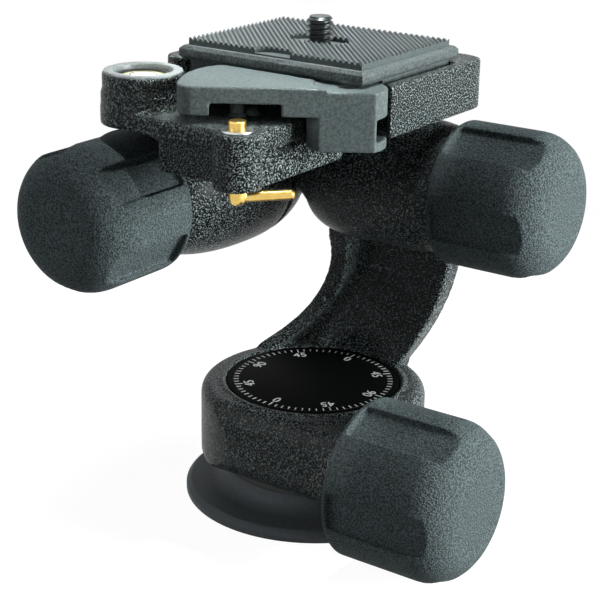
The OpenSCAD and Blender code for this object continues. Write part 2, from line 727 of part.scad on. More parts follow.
// Where the lever's flat front face ends beside its pivot
lever_end = sqrt(pow(lever_reach - 0.1, 2) - lever_face * lever_face);

// Lug on the deck that the lever's fork turns on
module lever_lug() {
    translate([pivot_x, -pivot_y, lug_z0]) {
        cylinder(r = lug_r, h = lug_t);
        translate([-lug_r, 0, 0]) cube([2 * lug_r, lever_reach + 3, lug_t]);
    }
}

// Level: ring and vial in the corner boss
level_seat = 3.4;
level_ring_r = level_r - 1.6;
level_vial_r = level_ring_r - 0.9;
module level_ring() color("gainsboro") translate([-level_x, -level_y, deck_z - level_seat])
    ring(level_ring_r, level_vial_r + fit, level_seat - 0.5);
module level_vial() color("khaki") translate([-level_x, -level_y, deck_z - level_seat])
    cylinder(r = level_vial_r, h = level_seat - 1.1);

// Back edge of the lever's finger lobe, from its tip to its root, in shares of its length and belly
lever_lobe = [[1, 0.06], [0.99, 0.28], [0.965, 0.5], [0.925, 0.7], [0.86, 0.88], [0.79, 0.98], [0.72, 1],
    [0.65, 0.98], [0.58, 0.91], [0.51, 0.8], [0.44, 0.65], [0.37, 0.48], [0.29, 0.31], [0.18, 0.18]];

// Plan of the lever's paddle in its own frame: pivot at the origin, arm along +X, front face toward +Y
module paddle_plan() {
    tip_r = 4;
    polygon(concat([[0, lever_face], [lever_len - 1.5 * tip_r, lever_face]],
        arc(lever_len - tip_r, lever_face - tip_r, tip_r, 80, 0, 5),
        [for (p = lever_lobe) [p[0] * lever_len, -p[1] * lever_belly]], [[0, 0]]));
}

// Frame of the lever with the plate locked
module at_lever() {
    translate([pivot_x, -pivot_y, 0]) rotate([0, 0, 180 + lever_angle]) children();
}

// Lever: paddle with a thick finger tab, a step, and the forked hub
module lever() color("#6b6d6c") difference() {
    at_lever() union() {
        translate([0, 0, paddle_top - lever_t]) linear_extrude(lever_t) paddle_plan();
        difference() {
            translate([0, 0, paddle_top - tab_t]) linear_extrude(tab_t) paddle_plan();
            cylinder(r = lever_len - 6.8, h = 2 * deck_z);
        }
        translate([0, 2, paddle_top - tab_t]) cube([2 * lever_end + 2, lever_face - 2, tab_t]);
        intersection() {
            translate([0, 0, lever_z0]) cylinder(r = lever_reach - 0.1, h = lever_top - lever_z0);
            translate([-lever_reach, -lever_reach, lever_z0])
                cube([2 * lever_reach, lever_reach + lever_face, lever_top - lever_z0]);
        }
    }
    translate([pivot_x, -pivot_y, lever_z0 - 1]) cylinder(r = pivot_r + fit, h = lever_hub_h + 3);
    translate([pivot_x, -pivot_y, slot_z0]) {
        cylinder(r = lug_r + swing_gap, h = slot_z1 - slot_z0);
        for (a = [0:lever_open / 5:lever_open]) rotate([0, 0, -a]) translate([-lug_r - swing_gap, 0, 0])
            cube([2 * (lug_r + swing_gap), 2 * lever_reach, slot_z1 - slot_z0]);
    }
    translate([-plate_x / 2 - 1, -plate_y / 2 - swing_gap, lever_top])
        cube([plate_x + 2, plate_y, 5]);
    translate([-deck_left, -deck_front - swing_gap, lever_z0])
        cube([deck_left + pivot_x - lever_reach - 1, deck_front, lever_hub_h + 5]);
    translate([pivot_x, -pivot_y, lever_top]) cylinder(r = lever_face + 1.4, h = 5);
}

// Pivot pin of the lever, flush with its hub
module lever_pivot() color("silver") translate([pivot_x, -pivot_y, lever_z0 + 0.3])
    cylinder(r = pivot_r, h = lever_top - lever_z0 - 0.6);

// Safety pin with its bent tail
pin_top = paddle_top - lever_t - 2;
tail_r = 1.2;
tail_len = 12;
tail_turn = 48;
pin_z0 = pedestal_z0 - tail_r - 0.3;
module safety_pin() color("gold") translate([pin_x, -pin_y, 0]) {
    translate([0, 0, pin_z0]) cylinder(r = pin_r, h = pin_top - pin_z0);
    translate([0, 0, pin_z0]) sphere(r = pin_r);
    translate([0, 0, pin_z0]) rotate([0, 0, tail_turn]) rod_x(tail_r, 0, tail_len);
    translate([0, 0, pin_z0]) rotate([0, 0, tail_turn]) translate([tail_len, 0, 0]) sphere(r = tail_r);
}

// Thin collar round the safety pin, resting on its boss
module pin_collar() color("silver") translate([pin_x, -pin_y, shelf_z])
    ring(pin_r + 1.6, pin_r + fit, 0.6);

// Quick-release plate: bevelled slab with a dovetail under it
module quick_plate() color("#77797a") difference() {
    union() {
        translate([0, 0, plate_z0]) plate_slab();
        translate([-plate_x / 2 + 0.6, 0, 0]) rotate([90, 0, 90]) linear_extrude(plate_x - 1.2)
            polygon([[-tail_front, tail_z0], [tail_y, tail_z0], [tail_y - tail_slope, plate_z0 + 0.5],
            [-tail_front, plate_z0 + 0.5]]);
    }
    translate([0, 0, tail_z0 - 1]) cylinder(r = camera_d / 2 + 0.2, h = 2 * plate_t + tail_h);
    translate([0, 0, tail_z0 - 1]) cylinder(r = screw_head_r + 0.3, h = screw_head_t + 1.5);
    translate([pivot_x, -pivot_y, tail_z0 - 1])
        cylinder(r = lever_reach + swing_gap, h = plate_z0 - tail_z0 + 1);
}

// Front edge of the dovetail, which the lever holds
tail_front = 17.5;
screw_head_r = 5.5;
screw_head_t = 3.2;
screw_slot_w = 1.2;
screw_slot_d = 1.3;

// Section of the plate's upper slab, w wide, with bevels b
module bevelled(w, b) {
    polygon([[b - w / 2, 0], [w / 2 - b, 0], [w / 2, b], [w / 2, plate_t - b],
        [w / 2 - b, plate_t], [b - w / 2, plate_t], [-w / 2, plate_t - b], [-w / 2, b]]);
}

// Plate's upper slab with bevelled edges on z = 0
module plate_slab() {
    b = plate_t / 4;
    intersection() {
        translate([-plate_x / 2, 0, 0]) rotate([90, 0, 90]) linear_extrude(plate_x)
            bevelled(plate_y, b);
        translate([0, plate_y / 2, 0]) rotate([90, 0, 0]) linear_extrude(plate_y)
            bevelled(plate_x, b);
    }
}

// Rubber pad with a slot for the camera screw
module plate_pad() color("#1c1d1e") difference() {
    translate([-pad_x / 2, -pad_y / 2, plate_z1]) cube([pad_x, pad_y, pad_t]);
    for (x = [-4, 4]) translate([x, 0, plate_z1 - 1]) cylinder(r = camera_d / 2 + 1, h = pad_t + 2);
    translate([-4, -camera_d / 2 - 1, plate_z1 - 1]) cube([8, camera_d + 2, pad_t + 2]);
}

// Camera screw with a slotted head under the plate and a neck that keeps it captive
module camera_screw() color("#303234") difference() {
    union() {
        translate([0, 0, tail_z0 + 0.3]) cylinder(r = screw_head_r, h = screw_head_t - 0.2);
        translate([0, 0, tail_z0 + 0.3]) cylinder(r = camera_d / 2 - 0.5, h = pad_z1 - tail_z0);
        translate([0, 0, pad_z1]) cylinder(r = camera_d / 2, h = camera_h);
    }
    translate([-screw_head_r - 1, -screw_slot_w / 2, tail_z0 - 1])
        cube([2 * screw_head_r + 2, screw_slot_w, 1 + screw_slot_d]);
}

// Trigger pin in the deck's floor, which the plate pushes down
trigger_len = 4.6;
trigger_travel = 0.8;
module trigger_pin() color("silver")
    translate([-trigger_x, trigger_y, pocket_floor - trigger_len + trigger_travel + 0.1])
    cylinder(r = trigger_r, h = trigger_len - trigger_travel + 0.1);

base_disc();
base_screws();
pan_hub();
pan_washer();
pan_retainer();
pan_nut();
arm_casting();
dial_plate();
pan_shoe_inner();
pan_shoe_outer();
pan_screw();
pan_insert();
pan_knob();
tilt_bushes();
tilt_thrust_washer();
tilt_insert();
tilt_knob();
elbow_casting();
tilt_spindle();
tilt_washer();
roll_spindle();
roll_washer();
clamp_body();
roll_bushes();
roll_thrust_washer();
roll_insert();
roll_knob();
level_ring();
level_vial();
lever();
lever_pivot();
safety_pin();
pin_collar();
quick_plate();
plate_pad();
camera_screw();
trigger_pin();
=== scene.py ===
import math
import bpy
from mathutils import Matrix, Vector


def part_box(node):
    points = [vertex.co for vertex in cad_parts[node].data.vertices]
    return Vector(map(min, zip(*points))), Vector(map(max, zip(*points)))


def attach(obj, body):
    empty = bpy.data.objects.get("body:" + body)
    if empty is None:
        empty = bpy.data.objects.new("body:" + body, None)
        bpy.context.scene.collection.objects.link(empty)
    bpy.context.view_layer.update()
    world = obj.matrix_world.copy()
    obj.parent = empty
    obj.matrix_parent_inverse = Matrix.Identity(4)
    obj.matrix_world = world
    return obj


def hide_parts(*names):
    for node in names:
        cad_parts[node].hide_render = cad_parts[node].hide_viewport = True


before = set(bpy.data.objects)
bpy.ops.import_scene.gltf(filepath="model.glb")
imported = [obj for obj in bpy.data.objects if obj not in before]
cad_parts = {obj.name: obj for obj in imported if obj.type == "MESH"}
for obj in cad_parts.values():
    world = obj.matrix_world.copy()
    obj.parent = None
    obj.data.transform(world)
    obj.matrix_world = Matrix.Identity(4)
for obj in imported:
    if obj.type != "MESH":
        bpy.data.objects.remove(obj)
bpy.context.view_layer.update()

# Camera: a long lens about 42 cm from the head, a little above it and to its front right.
# The place and turn are those that line the solids up with the picture.
CAMERA_AT = Vector((0.21477, -0.31409, 0.18882))
CAMERA_LOOK = Vector((-0.53867, 0.77139, -0.33882))
CAMERA_YAW, CAMERA_ROLL = math.radians(-34.93), math.radians(0.89)
SENSOR_W, LENS = 36, 95.357
scene = bpy.context.scene
scene.view_settings.view_transform = "Standard"
level_right = Vector((math.cos(CAMERA_YAW), -math.sin(CAMERA_YAW), 0))
level_up = level_right.cross(CAMERA_LOOK)
camera_right = math.cos(CAMERA_ROLL) * level_right + math.sin(CAMERA_ROLL) * level_up
camera_up = math.cos(CAMERA_ROLL) * level_up - math.sin(CAMERA_ROLL) * level_right
camera_data = bpy.data.cameras.new("studio_camera")
camera_data.sensor_width, camera_data.lens = SENSOR_W, LENS
camera = bpy.data.objects.new("studio_camera", camera_data)
scene.collection.objects.link(camera)
turn = Matrix((camera_right, camera_up, -CAMERA_LOOK)).transposed().to_4x4()
camera.matrix_world = Matrix.Translation(CAMERA_AT) @ turn
scene.camera = camera

# Floor: a white paper sweep that the head stands on. It is drawn as a wide disc that shows as
# white, keeps the head's soft shadow, and fades into the white studio round it.
MM = 0.001
FLOOR_R, FLOOR_DROP = 0.7, 0.05 * MM
FLOOR_GLOW = 0.94
FADE_FROM, FADE_TO = 0.14, 0.3


def linear(hex_colour):
    """An sRGB hex colour as the linear colour that a shader's socket takes."""
    shares = [int(hex_colour[i:i + 2], 16) / 255 for i in (1, 3, 5)]
    return [s / 12.92 if s <= 0.04045 else ((s + 0.055) / 1.055) ** 2.4 for s in shares] + [1.0]


def add_node(tree, kind, values=(), links=(), **settings):
    """Adds a shader node with its settings, its sockets' values and its links."""
    node = tree.nodes.new(kind)
    for name, value in settings.items():
        setattr(node, name, value)
    for socket, value in dict(values).items():
        node.inputs[socket].default_value = value
    for socket, source in dict(links).items():
        tree.links.new(source, node.inputs[socket])
    return node


def stretch(tree, value, low, high, **settings):
    """Stretches a value so that low becomes 0 and high becomes 1."""
    return add_node(tree, "ShaderNodeMapRange", {"From Min": low, "From Max": high},
                    {"Value": value}, **settings).outputs[0]


def seen_directly(tree):
    """1 for rays from the camera, from a mirror or through glass, and 0 for light on the object."""
    path = add_node(tree, "ShaderNodeLightPath").outputs
    mirror = add_node(tree, "ShaderNodeMath", (),
                      {0: path["Is Camera Ray"], 1: path["Is Glossy Ray"]}, operation="MAXIMUM")
    through = {0: mirror.outputs[0], 1: path["Is Transmission Ray"]}
    return add_node(tree, "ShaderNodeMath", (), through, operation="MAXIMUM").outputs[0]


bpy.ops.object.select_all(action="DESELECT")
bpy.ops.mesh.primitive_circle_add(vertices=96, radius=FLOOR_R, fill_type="NGON", location=(0, 0, 0))
floor = bpy.context.object
floor.name = "floor"
floor.location.z = -FLOOR_DROP
bpy.ops.object.transform_apply(location=True, rotation=True, scale=True)

# White paper: matt, with a glow that only direct sight gets, so the shadow stays pale.
paper = bpy.data.materials.new("white_paper_sweep")
paper.use_nodes = True
tree = paper.node_tree
tree.nodes.clear()
place = add_node(tree, "ShaderNodeTexCoord")
matt = add_node(tree, "ShaderNodeBsdfDiffuse", {"Color": linear("#7c7c7c")})
sight = seen_directly(tree)
glow_level = add_node(tree, "ShaderNodeMath", {1: FLOOR_GLOW}, {0: sight}, operation="MULTIPLY")
glow = add_node(tree, "ShaderNodeEmission", {"Color": linear("#ffffff")},
                {"Strength": glow_level.outputs[0]})
lit = add_node(tree, "ShaderNodeAddShader", (), {0: matt.outputs[0], 1: glow.outputs[0]})
span = add_node(tree, "ShaderNodeVectorMath", (), {0: place.outputs["Object"]}, operation="LENGTH")
fade = stretch(tree, span.outputs["Value"], FADE_FROM, FADE_TO, interpolation_type="SMOOTHSTEP")
clear = add_node(tree, "ShaderNodeBsdfTransparent")
faded = add_node(tree, "ShaderNodeMixShader", (),
                 {0: fade, 1: lit.outputs[0], 2: clear.outputs[0]})
add_node(tree, "ShaderNodeOutputMaterial", (), {"Surface": faded.outputs[0]})
floor.data.materials.append(paper)

# Studio: a white room for what looks straight at it, and dim for the light on the head,
# so that the softboxes model its shape.
ROOM_LIGHT = 0.015
studio = bpy.data.worlds.new("white_studio")
studio.use_nodes = True
scene.world = studio
tree = studio.node_tree
tree.nodes.clear()
sight = seen_directly(tree)
room = add_node(tree, "ShaderNodeMapRange", {"To Min": ROOM_LIGHT, "To Max": 1.0}, {"Value": sight})
sky = add_node(tree, "ShaderNodeBackground", {"Color": linear("#ffffff")},
               {"Strength": room.outputs[0]})
add_node(tree, "ShaderNodeOutputWorld", (), {"Surface": sky.outputs[0]})

# Softboxes: a strong one on the right, one overhead, and two weak ones in front.
# Each is given by where it stands, its size and its power, and is aimed at the head's middle.
SOFTBOXES = {
    "right_softbox": ((0.54, 0.14, 0.17), 0.24, 8.2),
    "top_softbox": ((0.04, 0.14, 0.72), 0.26, 2.0),
    "left_fill": ((-0.34, -0.5, 0.3), 0.26, 1.0),
    "front_fill": ((0.2, -0.6, 0.2), 0.26, 0.3),
}
HEAD_MIDDLE = Vector((0, 0, 0.06))
for name, (stand, side, power) in SOFTBOXES.items():
    lamp = bpy.data.lights.new(name, "AREA")
    lamp.shape = "SQUARE"
    lamp.size = side
    lamp.energy = power
    softbox = bpy.data.objects.new(name, lamp)
    softbox.location = stand
    softbox.rotation_euler = (HEAD_MIDDLE - Vector(stand)).to_track_quat("-Z", "Y").to_euler()
    softbox.visible_camera = False
    scene.collection.objects.link(softbox)

# Top light: a softbox with a honeycomb grid, whose straight beam falls on the deck and the lever
# only. The parts below stay in the deck's shadow.
GRID_AT = Vector((-1.5 * MM, -12.5 * MM, 0.5))
GRID_WIDE, GRID_LONG, GRID_POWER = 60 * MM, 66 * MM, 0.032
GRID_SPREAD = math.radians(4)
lamp = bpy.data.lights.new("top_grid", "AREA")
lamp.shape = "RECTANGLE"
lamp.size, lamp.size_y = GRID_WIDE, GRID_LONG
lamp.spread = GRID_SPREAD
lamp.energy = GRID_POWER
grid = bpy.data.objects.new("top_grid", lamp)
grid.location = GRID_AT
grid.visible_camera = False
scene.collection.objects.link(grid)

# Base disc: a turned aluminium disc, anodised dark grey, that sits on the tripod.
# Three screws from below hold it on the hub, whose spigot carries the tripod thread.
MERGE_GAP, FLAT_ANGLE = 0.002 * MM, math.radians(0.5)
BEVEL_ANGLE, SMOOTH_ANGLE = math.radians(35), math.radians(32)
BASE_EDGE = 0.25 * MM


def start_material(name):
    """A new material with its node tree, its shader and its Object coordinates."""
    material = bpy.data.materials.new(name)
    material.use_nodes = True
    tree = material.node_tree
    place = add_node(tree, "ShaderNodeTexCoord").outputs["Object"]
    return material, tree, tree.nodes["Principled BSDF"], place


def set_shader(shader, **values):
    """Sets constant values on the shader's own sockets."""
    for name, value in values.items():
        shader.inputs[name.replace("_", " ")].default_value = value


def add_noise(tree, place, scale, detail):
    """The value of a noise, whose scale is one over the size of its grains."""
    return add_node(tree, "ShaderNodeTexNoise", {"Scale": scale, "Detail": detail},
                    {"Vector": place}).outputs["Fac"]


def add_rings(tree, place, scale, distortion):
    """The value of upright rings round the pan axis, 0.314 m apart divided by the scale."""
    return add_node(tree, "ShaderNodeTexWave", {"Scale": scale, "Distortion": distortion},
                    {"Vector": place}, wave_type="RINGS", rings_direction="Z").outputs["Fac"]


def vary_tone(tree, shader, factor, dark, light):
    """Blends the base colour between two tones by a texture's value."""
    tone = add_node(tree, "ShaderNodeMix", {"A": linear(dark), "B": linear(light)},
                    {"Factor": factor}, data_type="RGBA")
    tree.links.new(tone.outputs["Result"], shader.inputs["Base Color"])


def vary_roughness(tree, shader, factor, low, high):
    """Varies the roughness between two values by a texture's value."""
    rough = add_node(tree, "ShaderNodeMapRange", {"To Min": low, "To Max": high}, {"Value": factor})
    tree.links.new(rough.outputs[0], shader.inputs["Roughness"])


def add_relief(tree, shader, height, strength, depth):
    """Gives the surface a fine relief by a texture's value."""
    relief = add_node(tree, "ShaderNodeBump", {"Strength": strength, "Distance": depth},
                      {"Height": height})
    tree.links.new(relief.outputs[0], shader.inputs["Normal"])


def dress(material, *nodes):
    """Gives CAD nodes that stay in the scene their finish."""
    for node in nodes:
        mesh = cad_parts[node].data
        mesh.materials.clear()
        mesh.materials.append(material)


def only(piece):
    """Makes one piece the only selected one."""
    if bpy.context.object and bpy.context.object.mode == "EDIT":
        bpy.ops.object.mode_set(mode="OBJECT")
    bpy.ops.object.select_all(action="DESELECT")
    piece.select_set(True)
    bpy.context.view_layer.objects.active = piece


def edit_mesh(piece, *steps):
    """Runs mesh operators, each with its settings, on the whole of one piece."""
    only(piece)
    bpy.ops.object.mode_set(mode="EDIT")
    for operator, settings in steps:
        bpy.ops.mesh.select_all(action="SELECT")
        operator(**settings)
    bpy.ops.object.mode_set(mode="OBJECT")


def merged_copy(name, node):
    """A new piece with a CAD node's shape, its loose triangles merged."""
    piece = bpy.data.objects.new(name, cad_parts[node].data.copy())
    scene.collection.objects.link(piece)
    piece.data.materials.clear()
    only(piece)
    bpy.ops.mesh.customdata_custom_splitnormals_clear()
    edit_mesh(piece, (bpy.ops.mesh.remove_doubles, {"threshold": MERGE_GAP}),
              (bpy.ops.mesh.dissolve_limited, {"angle_limit": FLAT_ANGLE}))
    return piece


def apply_modifier(piece, kind, **settings):
    """Adds one modifier to a piece and applies it."""
    only(piece)
    modifier = piece.modifiers.new(kind.lower(), kind)
    for name, value in settings.items():
        setattr(modifier, name, value)
    bpy.ops.object.modifier_apply(modifier=modifier.name)


def ease_edges(piece, width):
    """Breaks a machined piece's sharp edges with a small round."""
    apply_modifier(piece, "BEVEL", width=width, segments=2, limit_method="ANGLE",
                   angle_limit=BEVEL_ANGLE, use_clamp_overlap=True)
    bpy.ops.object.shade_smooth_by_angle(angle=SMOOTH_ANGLE)


def finish_piece(piece, material, body, slot, *nodes):
    """Gives a new piece its finish and its body, and hides the CAD nodes it stands for. The slot is
    not used.
    """
    piece.data.materials.clear()
    piece.data.materials.append(material)
    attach(piece, body)
    if nodes:
        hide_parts(*nodes)


# Turned and anodised aluminium: faint wide rings from the lathe, about 3 mm apart.
anodised, tree, shader, place = start_material("anodised_turned_aluminium")
grime = add_noise(tree, place, 900.0, 3.0)
vary_tone(tree, shader, grime, "#42474a", "#595f62")
vary_roughness(tree, shader, grime, 0.5, 0.64)
add_relief(tree, shader, add_rings(tree, place, 100.0, 0.6), 0.25, 0.03 * MM)
set_shader(shader, Metallic=0.1, Specular_IOR_Level=0.1)
base_plate = merged_copy("base_plate", "base_disc")
ease_edges(base_plate, BASE_EDGE)
finish_piece(base_plate, anodised, "base", "base", "base_disc")

# Machined aluminium: bright, with faint turning marks about 2.4 mm apart.
alloy, tree, shader, place = start_material("machined_aluminium")
vary_roughness(tree, shader, add_rings(tree, place, 130.0, 1.0), 0.3, 0.45)
set_shader(shader, Base_Color=linear("#b9bcbd"), Metallic=1.0)
dress(alloy, "pan_hub")

# Zinc-plated steel: cool grey and slightly cloudy.
steel, tree, shader, place = start_material("zinc_plated_steel")
vary_roughness(tree, shader, add_noise(tree, place, 700.0, 3.0), 0.24, 0.42)
set_shader(shader, Base_Color=linear("#c3c7c8"), Metallic=1.0)
dress(steel, "base_screws", "pan_retainer", "pan_nut")

# Friction washers: black acetal rings between the parts that turn on each other.
# Acetal is waxy and matt, with faint streaks from moulding.
acetal, tree, shader, place = start_material("black_acetal")
vary_tone(tree, shader, add_noise(tree, place, 500.0, 4.0), "#121314", "#1c1e1f")
set_shader(shader, Roughness=0.55)
dress(acetal, "pan_washer", "tilt_washer", "roll_washer")

# Castings: the arm with its drum and barrel, the elbow, and the clamp with the roll ball.
# Each is die-cast aluminium with rounded edges and a grained black powder coat.
CASTINGS = {"arm": ("arm_casting", "pan", 0.42 * MM), "elbow": ("elbow_casting", "elbow", 0.4 * MM),
            "clamp": ("clamp_body", "clamp", 0.42 * MM)}
CAST_ROUNDS = 8
MOST_TRIANGLES = 180000


def round_edges(piece, cube, rounds):
    """Remeshes a piece in small cubes and smooths it, so that its edges are rounded as cast."""
    apply_modifier(piece, "REMESH", mode="VOXEL", voxel_size=cube)
    apply_modifier(piece, "SMOOTH", factor=0.5, iterations=rounds)
    triangles = 2 * len(piece.data.polygons)
    if triangles > MOST_TRIANGLES:
        apply_modifier(piece, "DECIMATE", ratio=MOST_TRIANGLES / triangles)
    bpy.ops.object.shade_smooth()


# Powder coat: hard grains in relief, drawn 0.4 mm apart to show. Their light speckle on the black
# is a painted glint, standing in for the grains catching the light.
powder, tree, shader, place = start_material("grained_black_powder_coat")
peaks = stretch(tree, add_noise(tree, place, 1 / (0.4 * MM), 1.0), 0.47, 0.65,
                interpolation_type="SMOOTHSTEP")
vary_tone(tree, shader, peaks, "#0a0d0d", "#859393")
add_relief(tree, shader, peaks, 1.0, 0.3 * MM)
set_shader(shader, Roughness=0.33, Specular_IOR_Level=0.09)
for name, (node, body, cube) in CASTINGS.items():
    casting = merged_copy(name + "_cast", node)
    round_edges(casting, cube, CAST_ROUNDS)
    finish_piece(casting, powder, body, "casting", node)

# Dial: a black anodised disc pressed into the drum's top, printed in white.
# It has a ring near its edge, a mark every 5 degrees and numbers every 45, and a bare middle.
DIAL_EDGE = 0.15 * MM
RING_OUT, RING_IN = 20.9 * MM, 20.6 * MM
MARK_LONG, MARK_SHORT, MARK_W = 2.0 * MM, 1.3 * MM, 0.26 * MM
MARK_STEP, NUMBER_STEP = 5, 45
NUMBERS = ("0", "45", "90", "45", "0", "45", "90", "45")
NUMBER_R, NUMBER_H, NUMBER_START = 16.7 * MM, 2.6 * MM, -88
FIGURE_SHARE = 0.7
PRINT_T = 0.04 * MM
dial_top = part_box("dial_plate")[1].z

# Black anodising: matt and almost without shine.
black_disc, tree, shader, place = start_material("black_anodised_dial")
vary_roughness(tree, shader, add_noise(tree, place, 1200.0, 2.0), 0.55, 0.7)
set_shader(shader, Base_Color=linear("#060707"), Specular_IOR_Level=0.02)
dial = merged_copy("dial", "dial_plate")
ease_edges(dial, DIAL_EDGE)
finish_piece(dial, black_disc, "pan", "dial", "dial_plate")

# Screen print: white ink, slightly uneven.
ink, tree, shader, place = start_material("white_screen_print")
vary_tone(tree, shader, add_noise(tree, place, 1500.0, 2.0), "#aeb3b3", "#dfe3e3")
set_shader(shader, Roughness=0.6)


def own_copy(piece, name, change):
    """A copy of a piece with its own mesh, moved by a matrix."""
    twin = bpy.data.objects.new(name, piece.data.copy())
    twin.data.transform(change)
    scene.collection.objects.link(twin)
    return twin


bpy.ops.object.select_all(action="DESELECT")
bpy.ops.mesh.primitive_circle_add(vertices=144, radius=RING_OUT, location=(0, 0, 0))
ring_line = bpy.context.object
bpy.ops.object.mode_set(mode="EDIT")
bpy.ops.mesh.extrude_region_move()
bpy.ops.transform.resize(value=(RING_IN / RING_OUT, RING_IN / RING_OUT, 1))
bpy.ops.object.mode_set(mode="OBJECT")
prints = [ring_line]
for length, numbered in ((MARK_LONG, True), (MARK_SHORT, False)):
    bpy.ops.object.select_all(action="DESELECT")
    bpy.ops.mesh.primitive_plane_add(size=1, location=(RING_IN - length / 2, 0, 0))
    mark = bpy.context.object
    mark.scale = (length, MARK_W, 1)
    bpy.ops.object.transform_apply(location=True, rotation=True, scale=True)
    for angle in range(0, 360, MARK_STEP):
        if numbered == (angle % NUMBER_STEP == 0):
            around = Matrix.Rotation(math.radians(angle + NUMBER_START), 4, "Z")
            prints.append(own_copy(mark, "mark", around))
    bpy.data.objects.remove(mark)
for i, number in enumerate(NUMBERS):
    bpy.ops.object.select_all(action="DESELECT")
    bpy.ops.object.text_add(location=(0, 0, 0))
    figure = bpy.context.object
    figure.data.body = number
    figure.data.align_x, figure.data.align_y = "CENTER", "CENTER"
    figure.data.size = NUMBER_H / FIGURE_SHARE
    bpy.ops.object.convert(target="MESH")
    around = Matrix.Rotation(math.radians(NUMBER_STEP * i + NUMBER_START - 90), 4, "Z")
    figure.data.transform(around @ Matrix.Translation((0, NUMBER_R, 0)))
    prints.append(figure)
only(ring_line)
for part in prints:
    part.select_set(True)
bpy.ops.object.join()
dial_print = bpy.context.object
dial_print.name = "dial_print"
edit_mesh(dial_print, (bpy.ops.mesh.normals_make_consistent, {"inside": False}))
dial_print.data.transform(Matrix.Translation((0, 0, dial_top)))
apply_modifier(dial_print, "SOLIDIFY", thickness=PRINT_T, offset=1)
finish_piece(dial_print, ink, "pan", "dial")

# Pan lock and spindles: brass shoes, bushes and inserts, and steel spindles, screw and washers.
# They are turned pieces inside the castings and knobs, and only show as thin rings in the gaps.

# Turned brass: warm and bright, with slight tarnish.
brass, tree, shader, place = start_material("turned_brass")
vary_tone(tree, shader, add_noise(tree, place, 600.0, 3.0), "#c9a24e", "#e6c878")
set_shader(shader, Metallic=1.0, Roughness=0.28)
dress(brass, "pan_shoe_inner", "pan_shoe_outer", "pan_insert", "tilt_bushes", "tilt_insert",
      "roll_bushes", "roll_insert")
dress(steel, "pan_screw", "tilt_thrust_washer", "tilt_spindle", "roll_spindle",
      "roll_thrust_washer")

# Knobs: three lock knobs, one on each axis, moulded in charcoal soft plastic over a metal insert.
# Each has a plain rim, five flutes with round ends, and a large domed end that is left bare.
KNOB_CUBE, KNOB_ROUNDS = 0.38 * MM, 3

# Soft-touch plastic: matt, with a fine moulded grain drawn at 0.4 mm so that it shows.
soft_touch, tree, shader, place = start_material("charcoal_soft_touch_plastic")
peaks = stretch(tree, add_noise(tree, place, 1 / (0.4 * MM), 1.0), 0.36, 0.66)
vary_tone(tree, shader, peaks, "#303637", "#586466")
add_relief(tree, shader, peaks, 0.8, 0.16 * MM)
set_shader(shader, Roughness=0.6, Specular_IOR_Level=0.02)
for axis in ("pan", "tilt", "roll"):
    knob = merged_copy(axis + "_lock_knob", axis + "_knob")
    round_edges(knob, KNOB_CUBE, KNOB_ROUNDS)
    finish_piece(knob, soft_touch, axis + "_lock", "knob", axis + "_knob")

# Bubble level: a grey plastic bezel pressed into the clamp's corner boss, round a black seat.
# The vial in it is acrylic over a yellow-green liquid, with a bubble and a printed circle.
BEZEL_OUT, BEZEL_IN, BEZEL_UP, FLANGE_UP = 9.3 * MM, 6.9 * MM, 1.0 * MM, 0.45 * MM
INNER_ROUND = ((0, 0.3 * MM), (0.1 * MM, 0.1 * MM), (0.35 * MM, 0))
OUTER_ROUND = ((0.45 * MM, 0), (0.1 * MM, 0.15 * MM), (0, 0.4 * MM))
SEAT_IN, SEAT_UP, SEAT_LIP, SEAT_SLOPE = 5.6 * MM, 0.5 * MM, 0.3 * MM, 0.7
VIAL_DOME, PRINT_DEEP = 0.4 * MM, 0.3 * MM
BUBBLE_R, BUBBLE_UP, BUBBLE_RIM = 2.2 * MM, 0.16 * MM, 0.1 * MM
BUBBLE_OFF = Vector((0.7 * MM, 0.5 * MM, 0))
CIRCLE_R, CIRCLE_W, CIRCLE_SUNK = 3.0 * MM, 0.3 * MM, 0.02 * MM
SEED, WELD_GAP = 0.1 * MM, 0.005 * MM
TURNED_ANGLE = math.radians(40)
ring_low, ring_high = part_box("level_ring")
vial_low, vial_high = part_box("level_vial")
level_middle = (vial_low + vial_high) / 2
sleeve_r = (ring_high.x - ring_low.x) / 2
bezel_top = ring_high.z + BEZEL_UP
flange = ring_high.z + FLANGE_UP
seat_top = vial_high.z + SEAT_UP
vial_top = vial_high.z + VIAL_DOME
print_foot = vial_top - PRINT_DEEP

# Moulded plastic: mid grey, with a slightly mottled skin.
moulded, tree, shader, place = start_material("grey_moulded_plastic")
vary_tone(tree, shader, add_noise(tree, place, 1 / (0.5 * MM), 2.0), "#3c4343", "#9ca6a6")
set_shader(shader, Roughness=0.4)


def draw_outline(points):
    """An open line of edges through points, drawn on from a tiny plane merged to a point."""
    bpy.ops.object.select_all(action="DESELECT")
    bpy.ops.mesh.primitive_plane_add(size=SEED, location=points[0])
    bpy.ops.object.transform_apply(location=True, rotation=True, scale=True)
    bpy.ops.object.mode_set(mode="EDIT")
    bpy.ops.mesh.select_mode(type="VERT")
    bpy.ops.mesh.select_all(action="SELECT")
    bpy.ops.mesh.merge(type="CENTER")
    for start, end in zip(points, points[1:]):
        step = Vector(end) - Vector(start)
        bpy.ops.mesh.extrude_region_move(TRANSFORM_OT_translate={"value": step})
    bpy.ops.object.mode_set(mode="OBJECT")
    return bpy.context.object


